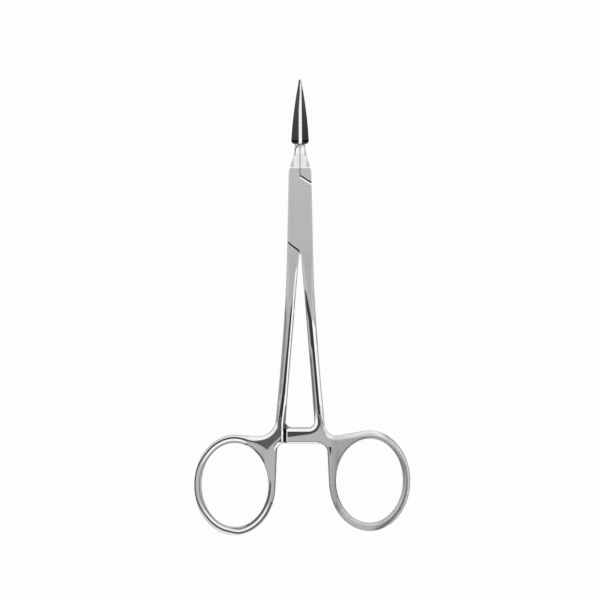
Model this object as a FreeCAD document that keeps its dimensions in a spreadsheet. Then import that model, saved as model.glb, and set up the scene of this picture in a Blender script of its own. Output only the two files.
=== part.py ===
import FreeCAD, Part
import math
import os
import Sketcher
from FreeCAD import Placement, Rotation, Vector

# Box-lock forceps lying flat: X across, Y towards the tips, Z up from the table.
# The pivot axis is x = 0, y = 0, and the underside of the lock is z = 0.
# Sizes are in millimetres, slopes and turns in degrees.

doc = FreeCAD.newDocument("root_tip_forceps")
sheet = doc.addObject("Spreadsheet::Sheet", "Sizes")

sizes = {
    # Box lock
    "lock_thickness": 4.4,
    "lock_up": 11.7,
    "lock_flare": 1.0,
    "lock_down": 10.8,
    "lock_half_crease": 2.74,
    "lock_half_top": 2.98,
    "lock_half_bottom": 3.43,
    "plate_thickness": 1.3,
    "shoulder_height": 10.0,
    "shoulder_slope": 35.5,
    "shoulder_gap": 0.34,
    "shoulder_bevel": 0.15,
    "shoulder_wide_bevel": 0.32,
    "lock_edge": 0.25,
    "parting_gap": 0.03,
    # Tongue and its play
    "tongue_half": 1.72,
    "tongue_tilt": 10.6,
    "opening": 50,
    "plate_play": 0.03,
    "wall_play": 0.04,
    # Pivot pin
    "pin_radius": 1.0,
    "pin_head_radius": 1.4,
    "pin_head_depth": 0.4,
    "pin_play": 0.03,
    # Jaws and neck
    "jaw_length": 17.0,
    "neck_length": 6.5,
    "flare_length": 1.7,
    "flare_half": 2.22,
    "flare_depth": 1.85,
    "flare_flat_share": 0.7,
    "waist_length": 3.4,
    "collar_depth": 1.2,
    "neck_half": 1.7,
    "neck_depth": 1.45,
    "neck_flat": 1.2,
    "jaw_root_half": 2.31,
    "jaw_root_depth": 1.7,
    "jaw_middle_half": 1.62,
    "jaw_middle_depth": 1.2,
    "jaw_tip_half": 0.44,
    "jaw_tip_depth": 0.45,
    "jaw_flat": 0.45,
    "jaw_tip_flat": 0.22,
    "jaw_land_share": 0.44,
    "jaw_heel": 0.9,
    "nose_length": 1.1,
    "nose_round": 0.34,
    "end_shoulder_share": 0.3,
    "serration_pitch": 0.7,
    "serration_depth": 0.12,
    "serration_count": 21,
    # Shanks
    "shank_upper_at": 23.0,
    "shank_upper_inner": 1.25,
    "shank_upper_width": 2.65,
    "shank_upper_depth": 2.0,
    "shank_upper_round": 1.0,
    "shank_lower_at": 36.0,
    "shank_lower_inner": 2.3,
    "shank_lower_width": 2.47,
    "shank_depth": 1.85,
    "crotch_half": 0.25,
    # Grips and finger rings
    "grip_at": 45.0,
    "grip_inner": 3.04,
    "grip_width": 2.45,
    "grip_round": 1.15,
    "hole_round": 0.5,
    "bridge_x": 6.85,
    "bridge_y": 59.2,
    "heel_x": 4.15,
    "heel_y": 60.2,
    "heel_round": 1.2,
    "palm_inset": 0.45,
    "palm_y": 61.5,
    "palm_round": 2.2,
    "ring_inner_half": 8.85,
    "ring_inner_reach": 11.15,
    "ring_side": 1.85,
    "ring_end": 2.05,
    "ring_depth": 1.85,
    "ring_slope": 9.0,
    "ratchet_slope": 9.5,
    "ratchet_margin": 1.0,
    "box_ring_x": 18.3,
    "box_ring_y": 70.5,
    "box_bridge_round": 3.0,
    "tongue_ring_x": 17.15,
    "tongue_ring_y": 71.6,
    "tongue_bridge_round": 4.7,
    # Ratchet
    "bar_top": 56.5,
    "bar_width": 4.1,
    "bar_reach": 3.68,
    "bar_root": 5.3,
    "bar_root_run": 2.1,
    "bar_root_round": 1.8,
    "bar_end_round": 0.65,
    "bar_edge": 0.6,
    "bar_play": 0.03,
    "tooth_pitch": 1.9,
    "tooth_height": 0.4,
    "tooth_count": 3,
}
for row, (name, value) in enumerate(sizes.items(), 1):
    sheet.set("A%d" % row, name)
    sheet.set("B%d" % row, str(value))
    sheet.setAlias("B%d" % row, name)
doc.recompute()


def size(name):
    """A driving dimension as a number."""
    return float(sheet.get(name))


def of_sizes(expression):
    """The sheet's own value of an expression, for a sketch's first drawing."""
    result = sheet.evalExpression(expression)
    return float(getattr(result, "Value", result))


# Sketches: closed outlines whose corners are bound to expressions

tolerance = 1e-4


def new_sketch(body, name, role, lift="0"):
    sketch = body.newObject("Sketcher::SketchObject", name)
    plane = [datum for datum in body.Origin.OriginFeatures if datum.Role == role][0]
    sketch.AttachmentSupport = [(plane, "")]
    sketch.MapMode = "FlatFace"
    sketch.setExpression("AttachmentOffset.Base.z", lift)
    return sketch


def bind_point(sketch, geometry, name, corner):
    """Tie the start of a line to a pair of expressions."""
    for axis, expression in zip(("DistanceX", "DistanceY"), corner):
        value = of_sizes(expression)
        index = sketch.addConstraint(Sketcher.Constraint(axis, -1, 1, geometry, 1, value))
        label = name + axis[-1]
        sketch.renameConstraint(index, label)
        sketch.setExpression("Constraints." + label, expression)


def draw_outline(sketch, corners, name="corner"):
    """Join the corners by lines, in order, and close the outline."""
    first = sketch.GeometryCount
    count = len(corners)
    points = [Vector(of_sizes(x), of_sizes(y), 0) for x, y in corners]
    for start, end in zip(points, points[1:] + points[:1]):
        sketch.addGeometry(Part.LineSegment(start, end), False)
    for number in range(count):
        following = first + (number + 1) % count
        sketch.addConstraint(Sketcher.Constraint("Coincident", first + number, 2, following, 1))
    for number, corner in enumerate(corners):
        bind_point(sketch, first + number, "%s%d" % (name, number), corner)


def opposite(corners):
    """The same outline turned half a turn about the pivot."""
    return [("-(%s)" % x, "-(%s)" % y) for x, y in corners]


def feature(body, kind, name, profile, **properties):
    """A sketch-based feature; text values are expressions."""
    made = body.newObject("PartDesign::" + kind, name)
    made.Profile = profile
    for key, value in properties.items():
        if isinstance(value, str):
            made.setExpression(key, value)
        else:
            setattr(made, key, value)
    doc.recompute()
    return made


def is_near(value, target):
    return abs(value - target) < tolerance


def edges_where(shape, wanted):
    """Names of the edges whose middle point passes the test."""
    names = []
    for number, edge in enumerate(shape.Edges, 1):
        middle = edge.valueAt((edge.FirstParameter + edge.LastParameter) / 2)
        if wanted(middle, edge):
            names.append("Edge%d" % number)
    return names


def dress(body, kind, name, base, edges, amount):
    """A fillet or chamfer of one bound size on named edges."""
    made = body.newObject("PartDesign::" + kind, name)
    made.Base = (base, edges)
    made.setExpression("Radius" if kind == "Fillet" else "Size", amount)
    doc.recompute()
    return made


# Lines that several outlines share, as expressions

beyond = "2 * Sizes.lock_half_bottom"
above = "Sizes.lock_up + Sizes.lock_flare"
slope = "tan(Sizes.shoulder_slope)"


def shoulder(x, gap_side):
    """Height of the upper shoulder face at x; gap_side is 1 on the tongue's side."""
    return "Sizes.shoulder_height - (%s) * %s + %d * Sizes.shoulder_gap / 2" % (x, slope, gap_side)


def tongue_edge(height, half):
    """Place across of the tongue's left edge at a height, closed."""
    return "((%s) * sin(Sizes.tongue_tilt) - %s) / cos(Sizes.tongue_tilt)" % (height, half)


# Box lock

lock_outline = [
    ("-Sizes.lock_half_crease", "Sizes.lock_up"),
    ("Sizes.lock_half_crease", "Sizes.lock_up"),
    ("Sizes.lock_half_top", "Sizes.lock_up - Sizes.lock_flare"),
    ("Sizes.lock_half_bottom", "-Sizes.lock_down"),
    ("-Sizes.lock_half_bottom", "-Sizes.lock_down"),
    ("-Sizes.lock_half_top", "Sizes.lock_up - Sizes.lock_flare"),
]
half_gap = "Sizes.parting_gap / 2"


def lock_blank(body):
    """The whole lock's outline at full thickness."""
    sketch = new_sketch(body, body.Name + "_outline", "XY_Plane")
    draw_outline(sketch, lock_outline)
    return feature(body, "Pad", body.Name + "_pad", sketch, Length="Sizes.lock_thickness")


def soften_lock(body, upper_bevel):
    """Round the long outer edges, and bevel the shoulder edges of both faces."""
    thick = size("lock_thickness")
    rise = math.tan(math.radians(size("shoulder_slope")))

    def on_face(point):
        return is_near(point.z, 0) or is_near(point.z, thick)

    def is_side(point, edge):
        line = edge.tangentAt(edge.FirstParameter)
        steep = abs(line.y) > abs(line.x)
        return on_face(point) and steep and abs(point.x) > size("lock_half_crease")

    def is_shoulder(point, edge):
        line = edge.tangentAt(edge.FirstParameter)
        return on_face(point) and is_near(abs(line.y), rise * abs(line.x))

    def is_upper(point, edge):
        return is_shoulder(point, edge) and point.y > 0

    def is_lower(point, edge):
        return is_shoulder(point, edge) and point.y < 0

    softened = body.Tip
    for kind, role, test, amount in (
        ("Chamfer", "upper_shoulder", is_upper, upper_bevel),
        ("Chamfer", "lower_shoulder", is_lower, "Sizes.shoulder_bevel"),
        ("Fillet", "sides", is_side, "Sizes.lock_edge"),
    ):
        edges = edges_where(softened.Shape, test)
        softened = dress(body, kind, body.Name + "_" + role, softened, edges, amount)
    return softened


def pin_seat(body, profile_corners):
    sketch = new_sketch(body, body.Name + "_pin_profile", "XZ_Plane")
    draw_outline(sketch, profile_corners)
    return feature(body, "Groove", body.Name + "_pin_seat", sketch,
                   ReferenceAxis=(sketch, ["V_Axis"]), Angle=360.0)


pin_profile = [
    ("0", "0"),
    ("Sizes.pin_head_radius", "0"),
    ("Sizes.pin_radius", "Sizes.pin_head_depth"),
    ("Sizes.pin_radius", "Sizes.lock_thickness - Sizes.pin_head_depth"),
    ("Sizes.pin_head_radius", "Sizes.lock_thickness"),
    ("0", "Sizes.lock_thickness"),
]
bore_profile = [
    ("0", "0"),
    ("Sizes.pin_radius + Sizes.pin_play", "0"),
    ("Sizes.pin_radius + Sizes.pin_play", "Sizes.lock_thickness"),
    ("0", "Sizes.lock_thickness"),
]


def make_box_lock():
    """Two plates with a wedge-shaped wall at each side; the tongue swings between them."""
    body = doc.addObject("PartDesign::Body", "box_lock")
    lock_blank(body)

    corners = new_sketch(body, "box_lock_corners", "XY_Plane", "Sizes.lock_thickness")
    taken = [
        ("-" + half_gap, above),
        ("-" + half_gap, shoulder("-" + half_gap, -1)),
        (beyond, shoulder(beyond, -1)),
        (beyond, above),
    ]
    draw_outline(corners, taken, "upper")
    draw_outline(corners, opposite(taken), "lower")
    feature(body, "Pocket", "box_lock_corner_cuts", corners, Length="Sizes.lock_thickness")

    slot_half = "(Sizes.tongue_half + Sizes.wall_play)"
    swing = "(Sizes.tongue_tilt + Sizes.opening)"
    halfway = "(Sizes.tongue_tilt + Sizes.opening / 2)"
    knee = "%s / cos(Sizes.opening / 2)" % slot_half
    opened_y = "(%s - %s * cos%s) / sin%s" % (slot_half, beyond, swing, swing)
    slot = [
        (tongue_edge(above, slot_half), above),
        (beyond, above),
        (beyond, "-(%s)" % opened_y),
        ("%s * cos%s" % (knee, halfway), "-%s * sin%s" % (knee, halfway)),
    ]
    sketch = new_sketch(body, "box_lock_slot", "XY_Plane",
                        "Sizes.lock_thickness - Sizes.plate_thickness")
    draw_outline(sketch, slot + opposite(slot))
    feature(body, "Pocket", "box_lock_slot_cut", sketch,
            Length="Sizes.lock_thickness - 2 * Sizes.plate_thickness")
    pin_seat(body, pin_profile)
    soften_lock(body, "Sizes.shoulder_wide_bevel")
    return body


def make_tongue_lock():
    """Two full-thickness corners joined by the thin tongue that passes through the box."""
    body = doc.addObject("PartDesign::Body", "tongue_lock")
    lock_blank(body)
    cheek_depth = "Sizes.plate_thickness + Sizes.plate_play"
    far_side = "-(%s)" % beyond

    cheek = [
        (half_gap, shoulder(half_gap, 1)),
        (half_gap, above),
        (far_side, above),
        (far_side, "-(%s)" % shoulder(beyond, 1)),
    ]
    for name, lift in (("front", "Sizes.lock_thickness"), ("back", cheek_depth)):
        sketch = new_sketch(body, "tongue_lock_cheek_" + name, "XY_Plane", lift)
        draw_outline(sketch, cheek + opposite(cheek))
        feature(body, "Pocket", "tongue_lock_cut_" + name, sketch, Length=cheek_depth)

    low = "(Sizes.shoulder_height + Sizes.shoulder_gap / 2)"
    foot = "-(Sizes.tongue_half + %s * sin(Sizes.tongue_tilt))" % low
    foot_x = "%s / (cos(Sizes.tongue_tilt) + %s * sin(Sizes.tongue_tilt))" % (foot, slope)
    wedge = [
        (tongue_edge(low, "Sizes.tongue_half"), low),
        (half_gap, low),
        (half_gap, above),
        (far_side, above),
        (far_side, "-(%s)" % shoulder(beyond, 1)),
        (foot_x, "-%s - (%s) * %s" % (low, foot_x, slope)),
    ]
    sketch = new_sketch(body, "tongue_lock_wedges", "XY_Plane", "Sizes.lock_thickness")
    draw_outline(sketch, wedge, "left")
    draw_outline(sketch, opposite(wedge), "right")
    feature(body, "Pocket", "tongue_lock_wedge_cuts", sketch, Length="Sizes.lock_thickness")
    pin_seat(body, bore_profile)
    soften_lock(body, "Sizes.shoulder_bevel")
    return body


# Jaws, with the neck and the flare that carry them


def jaw_section(body, name, station, half, depth, flat, land):
    """Half of a lens outline: a flat strip along the parting line, then a sloping side."""
    sketch = new_sketch(body, name, "XZ_Plane", "-(%s)" % station)
    middle = "Sizes.lock_thickness / 2"
    draw_outline(sketch, [
        ("-" + half_gap, "%s - %s" % (middle, depth)),
        ("-(%s)" % flat, "%s - %s" % (middle, depth)),
        ("-(%s)" % half, "%s - %s" % (middle, land)),
        ("-(%s)" % half, "%s + %s" % (middle, land)),
        ("-(%s)" % flat, "%s + %s" % (middle, depth)),
        ("-" + half_gap, "%s + %s" % (middle, depth)),
    ])
    return sketch


def loft(body, name, sections):
    made = body.newObject("PartDesign::AdditiveLoft", name)
    made.Profile = sections[0]
    made.Sections = sections[1:]
    doc.recompute()
    return made


def neck_section(body, name, station, depth):
    return jaw_section(body, name, station, "Sizes.neck_half", depth, "Sizes.neck_flat",
                       depth + " / 2")


def blade_section(body, name, station, place, less="0"):
    """A blade section at the root, middle or tip, drawn in all round near its rounded ends."""
    flat = {
        "root": "Sizes.jaw_flat",
        "middle": "(Sizes.jaw_flat + Sizes.jaw_tip_flat) / 2",
        "tip": "Sizes.jaw_tip_flat",
    }[place]
    half = "(Sizes.jaw_%s_half - %s)" % (place, less)
    depth = "(Sizes.jaw_%s_depth - %s)" % (place, less)
    return jaw_section(body, name, station, half, depth, "%s * %s / Sizes.jaw_%s_half"
                       % (flat, half, place), "Sizes.jaw_land_share * " + depth)


def make_jaw(name):
    """The left jaw; the right one is the same, turned over."""
    body = doc.addObject("PartDesign::Body", name)
    root = "Sizes.lock_up + Sizes.neck_length"
    tip = "Sizes.lock_up + Sizes.neck_length + Sizes.jaw_length"
    half_thick = "Sizes.lock_thickness / 2"
    crease = jaw_section(body, name + "_crease", "Sizes.lock_up", "Sizes.lock_half_crease",
                         half_thick, "Sizes.lock_half_crease - Sizes.lock_edge",
                         "(%s - Sizes.lock_edge)" % half_thick)
    flare = jaw_section(body, name + "_flare", "Sizes.lock_up + Sizes.flare_length",
                        "Sizes.flare_half", "Sizes.flare_depth",
                        "Sizes.flare_flat_share * Sizes.flare_half",
                        "Sizes.flare_flat_share * Sizes.flare_depth")
    waist = neck_section(body, name + "_waist", "Sizes.lock_up + Sizes.waist_length",
                         "Sizes.neck_depth")
    full = root + " + Sizes.jaw_heel"
    collar = neck_section(body, name + "_collar", full, "Sizes.collar_depth")
    loft(body, name + "_neck", [crease, flare, waist, collar])

    heel_step = "Sizes.end_shoulder_share * Sizes.jaw_heel"
    nose = tip + " - Sizes.nose_length"
    nose_step = "Sizes.end_shoulder_share * Sizes.nose_length"
    loft(body, name + "_heel", [
        blade_section(body, name + "_heel_start", root, "root", "Sizes.jaw_heel"),
        blade_section(body, name + "_heel_shoulder", root + " + " + heel_step, "root", heel_step),
        blade_section(body, name + "_heel_end", full, "root"),
    ])
    loft(body, name + "_blade", [
        blade_section(body, name + "_root", full, "root"),
        blade_section(body, name + "_middle", root + " + Sizes.jaw_length / 2", "middle"),
        blade_section(body, name + "_point", nose, "tip"),
    ])
    loft(body, name + "_nose", [
        blade_section(body, name + "_nose_start", nose, "tip"),
        blade_section(body, name + "_nose_shoulder", tip + " - " + nose_step, "tip",
                      "Sizes.end_shoulder_share * Sizes.nose_round"),
        blade_section(body, name + "_nose_end", tip, "tip", "Sizes.nose_round"),
    ])

    groove = new_sketch(body, name + "_groove", "XY_Plane", "Sizes.lock_thickness")
    first = root + " + 2 * Sizes.serration_pitch"
    draw_outline(groove, [
        ("0", first + " - Sizes.serration_depth"),
        ("-(%s + Sizes.serration_depth)" % half_gap, first),
        ("0", first + " + Sizes.serration_depth"),
    ])
    cut = feature(body, "Pocket", name + "_serration", groove, Length="Sizes.lock_thickness")
    repeat(body, name + "_serrations", cut, groove, "V_Axis", "serration")
    return body


def repeat(body, name, original, sketch, axis, sizes):
    """Copies of a feature at a bound pitch along an axis of its sketch."""
    pattern = body.newObject("PartDesign::LinearPattern", name)
    pattern.Originals = [original]
    pattern.Direction = (sketch, [axis])
    pattern.setExpression("Occurrences", "Sizes.%s_count" % sizes)
    pattern.setExpression("Length", "(Sizes.%s_count - 1) * Sizes.%s_pitch" % (sizes, sizes))
    body.Tip = pattern
    doc.recompute()
    return pattern


# Pivot pin: a rivet, its two heads spread into the countersinks and ground flush


def make_pin():
    body = doc.addObject("PartDesign::Body", "pivot_pin")
    sketch = new_sketch(body, "pin_profile", "XZ_Plane")
    draw_outline(sketch, pin_profile)
    feature(body, "Revolution", "pin_turning", sketch,
            ReferenceAxis=(sketch, ["V_Axis"]), Angle=360.0)
    return body


# Ratchet bars: half as thick as the lock, with saw teeth on the side that faces the other bar


def make_bar(name):
    """The front bar, which runs from the right handle across to the left."""
    body = doc.addObject("PartDesign::Body", name)
    sketch = new_sketch(body, name + "_outline", "XY_Plane",
                        "Sizes.lock_thickness / 2 + Sizes.bar_play")
    low = "-(Sizes.bar_top + Sizes.bar_width)"
    high = "-(Sizes.bar_top - Sizes.bar_root_run)"
    inner = handle_inner("Sizes.bar_top")
    draw_outline(sketch, [
        ("-Sizes.bar_reach", low),
        ("-Sizes.bar_reach", "-Sizes.bar_top"),
        (inner, "-Sizes.bar_top"),
        (inner, high),
        ("Sizes.bar_root", high),
        ("Sizes.bar_root", low),
    ])
    bar = feature(body, "Pad", name + "_pad", sketch,
                  Length="Sizes.lock_thickness / 2 - Sizes.bar_play")

    corner_x = of_sizes(inner)
    end_x = -size("bar_reach")
    top_y = -size("bar_top")

    def is_root_corner(point, edge):
        return is_near(point.x, corner_x) and is_near(point.y, top_y)

    def is_end_corner(point, edge):
        return is_near(point.x, end_x) and is_near(abs(edge.tangentAt(edge.FirstParameter).z), 1)

    def is_rim(point, edge):
        on_top = is_near(point.z, size("lock_thickness"))
        return on_top and is_near(point.y, top_y) and point.x < corner_x

    for role, test, radius in (
        ("root", is_root_corner, "Sizes.bar_root_round"),
        ("end", is_end_corner, "Sizes.bar_end_round"),
        ("rim", is_rim, "Sizes.bar_edge"),
    ):
        edges = edges_where(bar.Shape, test)
        bar = dress(body, "Fillet", name + "_" + role, bar, edges, radius)

    tooth = new_sketch(body, name + "_notch", "XZ_Plane", "Sizes.bar_top + Sizes.bar_width")
    foot = "Sizes.lock_thickness / 2 + Sizes.bar_play"
    draw_outline(tooth, [
        ("-Sizes.tooth_pitch", foot),
        ("0", foot),
        ("-Sizes.tooth_pitch", foot + " + Sizes.tooth_height"),
    ])
    cut = feature(body, "Pocket", name + "_tooth", tooth, Length="Sizes.bar_width")
    repeat(body, name + "_teeth", cut, tooth, "H_Axis", "tooth")
    return body


# Handles: shank, grip and finger ring forged in one, for the right side


def handle_inner(down):
    """The grip's inner edge at a distance below the pivot, as an expression."""
    return ("Sizes.grip_inner + (Sizes.heel_x - Sizes.grip_inner) * (%s - Sizes.grip_at)"
            " / (Sizes.heel_y - Sizes.grip_at)" % down)


def shank_section(down, inner, width, depth, corner):
    """A rectangle with round corners, across the shank."""
    middle = size("lock_thickness") / 2
    centres = [
        (inner + width - corner, middle + depth - corner, 0),
        (inner + corner, middle + depth - corner, 90),
        (inner + corner, middle - depth + corner, 180),
        (inner + width - corner, middle - depth + corner, 270),
    ]

    def rim_point(centre, angle):
        turn = math.radians(angle)
        return Vector(centre[0] + corner * math.cos(turn), -down,
                      centre[1] + corner * math.sin(turn))

    edges = []
    for centre, following in zip(centres, centres[1:] + centres[:1]):
        start = centre[2]
        end = rim_point(centre, start + 90)
        edges.append(Part.Arc(rim_point(centre, start), rim_point(centre, start + 45), end).toShape())
        edges.append(Part.makeLine(end, rim_point(following, following[2])))
    return Part.Wire(edges)


def make_shank(grip_end):
    """From the lock's foot to the cut end of the grip."""
    sections = [
        shank_section(size("lock_down"), size("crotch_half"),
                      size("lock_half_bottom") - size("crotch_half"),
                      size("lock_thickness") / 2, size("lock_edge")),
        shank_section(size("shank_upper_at"), size("shank_upper_inner"), size("shank_upper_width"),
                      size("shank_upper_depth"), size("shank_upper_round")),
        shank_section(size("shank_lower_at"), size("shank_lower_inner"), size("shank_lower_width"),
                      size("shank_depth"), size("grip_round")),
        grip_end,
    ]
    return Part.makeLoft(sections, True)


def rounded_path(points):
    """Lines through points (x, y, radius), with an arc of that radius at each inner point."""
    edges = []
    here = Vector(points[0][0], points[0][1], 0)
    for before, corner, after in zip(points, points[1:], points[2:]):
        tip = Vector(corner[0], corner[1], 0)
        back = (Vector(before[0], before[1], 0) - tip).normalize()
        onward = (Vector(after[0], after[1], 0) - tip).normalize()
        half_turn = back.getAngle(onward) / 2
        run = corner[2] / math.tan(half_turn)
        inward = (back + onward).normalize()
        middle = tip + inward * (corner[2] / math.sin(half_turn) - corner[2])
        edges.append(Part.makeLine(here, tip + back * run))
        here = tip + onward * run
        edges.append(Part.Arc(tip + back * run, middle, here).toShape())
    edges.append(Part.makeLine(here, Vector(points[-1][0], points[-1][1], 0)))
    return edges


def upright_ellipse(centre, half, reach):
    return Part.Ellipse(centre + Vector(0, reach, 0), centre + Vector(half, 0, 0), centre)


def touch_point(point, centre, half, reach, side):
    """Where a line from the point touches the upright ellipse."""
    across = (point[0] - centre.x) / half
    along = (point[1] - centre.y) / reach
    turn = math.atan2(along, across) + side * math.acos(1 / math.hypot(across, along))
    return (centre.x + half * math.cos(turn), centre.y + reach * math.sin(turn), 0)


def grip_blank(centre, bridge_round):
    """The grip and ring in plan, at full thickness."""
    thick = Vector(0, 0, size("lock_thickness"))
    half = size("ring_inner_half") + size("ring_side")
    reach = size("ring_inner_reach") + size("ring_end")
    top = -size("grip_at")
    bridge = (size("bridge_x"), -size("bridge_y"), bridge_round)
    palm = (centre.x - half - size("palm_inset"), -size("palm_y"), size("palm_round"))
    bridge_end = touch_point(bridge, centre, half, reach, -1)
    palm_end = touch_point(palm, centre, half, reach, 1)
    outer = rounded_path([(size("grip_inner") + size("grip_width"), top, 0), bridge, bridge_end])
    inner = rounded_path([
        palm_end,
        palm,
        (size("heel_x"), -size("heel_y"), size("heel_round")),
        (size("grip_inner"), top, 0),
    ])
    oval = upright_ellipse(centre, half, reach)
    start = oval.parameter(Vector(*bridge_end))
    end = oval.parameter(Vector(*palm_end))
    if end < start:
        end += 2 * math.pi
    ring = Part.ArcOfEllipse(oval, start, end).toShape()
    close = Part.makeLine(inner[-1].Vertexes[-1].Point, outer[0].Vertexes[0].Point)
    plan = Part.Face(Part.Wire(outer + [ring] + inner + [close])).extrude(thick)
    hole = upright_ellipse(centre, size("ring_inner_half"), size("ring_inner_reach"))
    return plan.cut(Part.Face(Part.Wire([hole.toShape()])).extrude(thick))


def level_curve(start, end):
    """Two equal arcs between (y, z) points, level at both ends."""
    first = Vector(0, start[0], start[1])
    last = Vector(0, end[0], end[1])
    middle = (first + last) * 0.5
    rise = end[1] - start[1]
    radius = ((end[0] - start[0]) ** 2 + rise ** 2) / (4 * abs(rise))
    edges = []
    for point, upward in ((first, rise), (last, -rise)):
        centre = point + Vector(0, 0, math.copysign(radius, upward))
        bulge = ((point - centre) + (middle - centre)).normalize() * radius + centre
        edges.append(Part.Arc(point, bulge, middle).toShape())
    return edges


def side_envelope(centre):
    """The handle from the side: thick at the ratchet, thinner in the shank and ring."""
    middle = size("lock_thickness") / 2
    full_from = size("bar_top") - size("ratchet_margin")
    full_to = size("bar_top") + size("bar_width") + size("ratchet_margin")
    stations = [
        (size("grip_at"), size("shank_depth")),
        (full_from - size("ratchet_slope"), size("shank_depth")),
        (full_from, middle),
        (full_to, middle),
        (full_to + size("ring_slope"), size("ring_depth")),
        (-centre.y + 2 * size("ring_inner_reach"), size("ring_depth")),
    ]
    edges = []
    for face in (1, -1):
        outline = [(-down, middle + face * depth) for down, depth in stations]
        for start, end in zip(outline, outline[1:]):
            if is_near(start[1], end[1]):
                edges.append(Part.makeLine(Vector(0, *start), Vector(0, *end)))
            else:
                edges.extend(level_curve(start, end))
    for down, depth in (stations[0], stations[-1]):
        edges.append(Part.makeLine(Vector(0, -down, middle - depth), Vector(0, -down, middle + depth)))
    profile = Part.Face(Part.Wire(Part.__sortEdges__(edges)))
    return profile.extrude(Vector(centre.x * 3, 0, 0))


def rim_edges(shape, flat_end, wanted):
    """Edges between the front or back and the sides, apart from the cut end."""
    edges = []
    for edge in shape.Edges:
        middle = edge.valueAt((edge.FirstParameter + edge.LastParameter) / 2)
        facing_up = 0
        for face in shape.ancestorsOfType(edge, Part.Face):
            normal = face.normalAt(*face.Surface.parameter(middle))
            facing_up += abs(normal.z) > math.hypot(normal.x, normal.y)
        if facing_up == 1 and wanted(middle) and not is_near(middle.y, flat_end):
            edges.append(edge)
    return edges


def make_handle(name, ring_x, ring_y, bridge_round):
    centre = Vector(size(ring_x), -size(ring_y), 0)
    top = -size("grip_at")

    def at_hole(point):
        across = (point.x - centre.x) / size("ring_inner_half")
        along = (point.y - centre.y) / size("ring_inner_reach")
        return is_near(math.hypot(across, along), 1)

    def at_outline(point):
        return not at_hole(point)

    blank = grip_blank(centre, size(bridge_round)).common(side_envelope(centre)).Solids[0]
    grip = blank.makeFillet(size("hole_round"), rim_edges(blank, top, at_hole))
    grip = grip.makeFillet(size("grip_round"), rim_edges(grip, top, at_outline))
    grip_end = [face for face in grip.Faces if is_near(face.BoundBox.YMin, top)][0]
    handle = doc.addObject("Part::Feature", name)
    handle.Shape = make_shank(grip_end.OuterWire).fuse(grip).removeSplitter()
    return handle


# Halves: each joins a jaw, its part of the lock, a handle and a ratchet bar


def turn_over(part):
    """Half a turn about the length, which swaps left with right and front with back."""
    part.Placement = Placement(Vector(0, 0, size("lock_thickness")), Rotation(Vector(0, 1, 0), 180))
    part.setExpression("Placement.Base.z", "Sizes.lock_thickness")
    return part


def make_half(name, pieces):
    half = doc.addObject("Part::MultiFuse", name)
    half.Shapes = pieces
    half.Refine = True
    half.Label = name
    doc.recompute()
    return half


box_half = make_half("box_half", [
    make_box_lock(),
    make_jaw("left_jaw"),
    make_handle("right_handle", "box_ring_x", "box_ring_y", "box_bridge_round"),
    make_bar("front_bar"),
])
tongue_half = make_half("tongue_half", [
    make_tongue_lock(),
    turn_over(make_jaw("right_jaw")),
    turn_over(make_handle("left_handle", "tongue_ring_x", "tongue_ring_y", "tongue_bridge_round")),
    turn_over(make_bar("rear_bar")),
])
pivot_pin = make_pin()
pivot_pin.Label = "pivot_pin"

doc.recompute()
for thing in doc.Objects:
    if "Invalid" in thing.State or "Error" in thing.State:
        raise RuntimeError("%s did not compute" % thing.Name)

os.makedirs("parts", exist_ok=True)
for part in (box_half, tongue_half, pivot_pin):
    shape = part.Shape
    if shape.isNull() or not shape.isValid() or len(shape.Solids) != 1:
        raise RuntimeError("%s is not one sound solid" % part.Label)
    shape.exportStep("parts/%s.step" % part.Label)
    print(part.Label, round(shape.Volume, 2), "cubic mm")
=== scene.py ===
import math
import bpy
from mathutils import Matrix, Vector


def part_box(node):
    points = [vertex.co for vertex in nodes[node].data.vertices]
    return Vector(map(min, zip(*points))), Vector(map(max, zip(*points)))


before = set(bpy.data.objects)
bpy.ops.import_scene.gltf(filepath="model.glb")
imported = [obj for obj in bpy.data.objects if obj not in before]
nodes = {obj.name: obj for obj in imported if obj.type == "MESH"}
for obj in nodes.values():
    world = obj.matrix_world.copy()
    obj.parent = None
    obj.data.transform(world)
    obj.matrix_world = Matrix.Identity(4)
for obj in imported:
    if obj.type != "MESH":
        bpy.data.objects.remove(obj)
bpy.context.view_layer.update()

from types import SimpleNamespace

import bpy
from mathutils import Vector

millimetre = 0.001

# Node helpers

def newTree(owner):
    owner.use_nodes = True
    owner.node_tree.nodes.clear()
    return owner.node_tree


def addNode(tree, kind, inputs=None, **settings):
    node = tree.nodes.new(kind)
    for name, value in settings.items():
        setattr(node, name, value)
    for name, value in (inputs or {}).items():
        if isinstance(value, bpy.types.NodeSocket):
            tree.links.new(value, node.inputs[name])
        else:
            node.inputs[name].default_value = value
    return node


def compute(tree, operation, first, second=0.0):
    return addNode(tree, "ShaderNodeMath", {0: first, 1: second}, operation=operation).outputs[0]


# first * factor + offset
def scaled(tree, first, factor, offset=0.0):
    node = addNode(tree, "ShaderNodeMath", {0: first, 1: factor, 2: offset}, operation="MULTIPLY_ADD")
    return node.outputs[0]


# Soft step from low at start to high at end
def fade(tree, value, start, end, low=0.0, high=1.0):
    node = addNode(tree, "ShaderNodeMapRange", {
        "Value": value, "From Min": start, "From Max": end, "To Min": low, "To Max": high,
    }, interpolation_type="SMOOTHSTEP")
    return node.outputs["Result"]


# Straight ramp, held level past both ends
def ramp(tree, value, start, end, low, high):
    return addNode(tree, "ShaderNodeMapRange", {
        "Value": value, "From Min": start, "From Max": end, "To Min": low, "To Max": high,
    }).outputs["Result"]


# One above the edge, soft over a width to both sides of it
def above(tree, value, edge, soft):
    return fade(tree, compute(tree, "SUBTRACT", value, edge), -soft, soft)


def below(tree, value, edge, soft):
    return fade(tree, compute(tree, "SUBTRACT", value, edge), -soft, soft, 1.0, 0.0)


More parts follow.
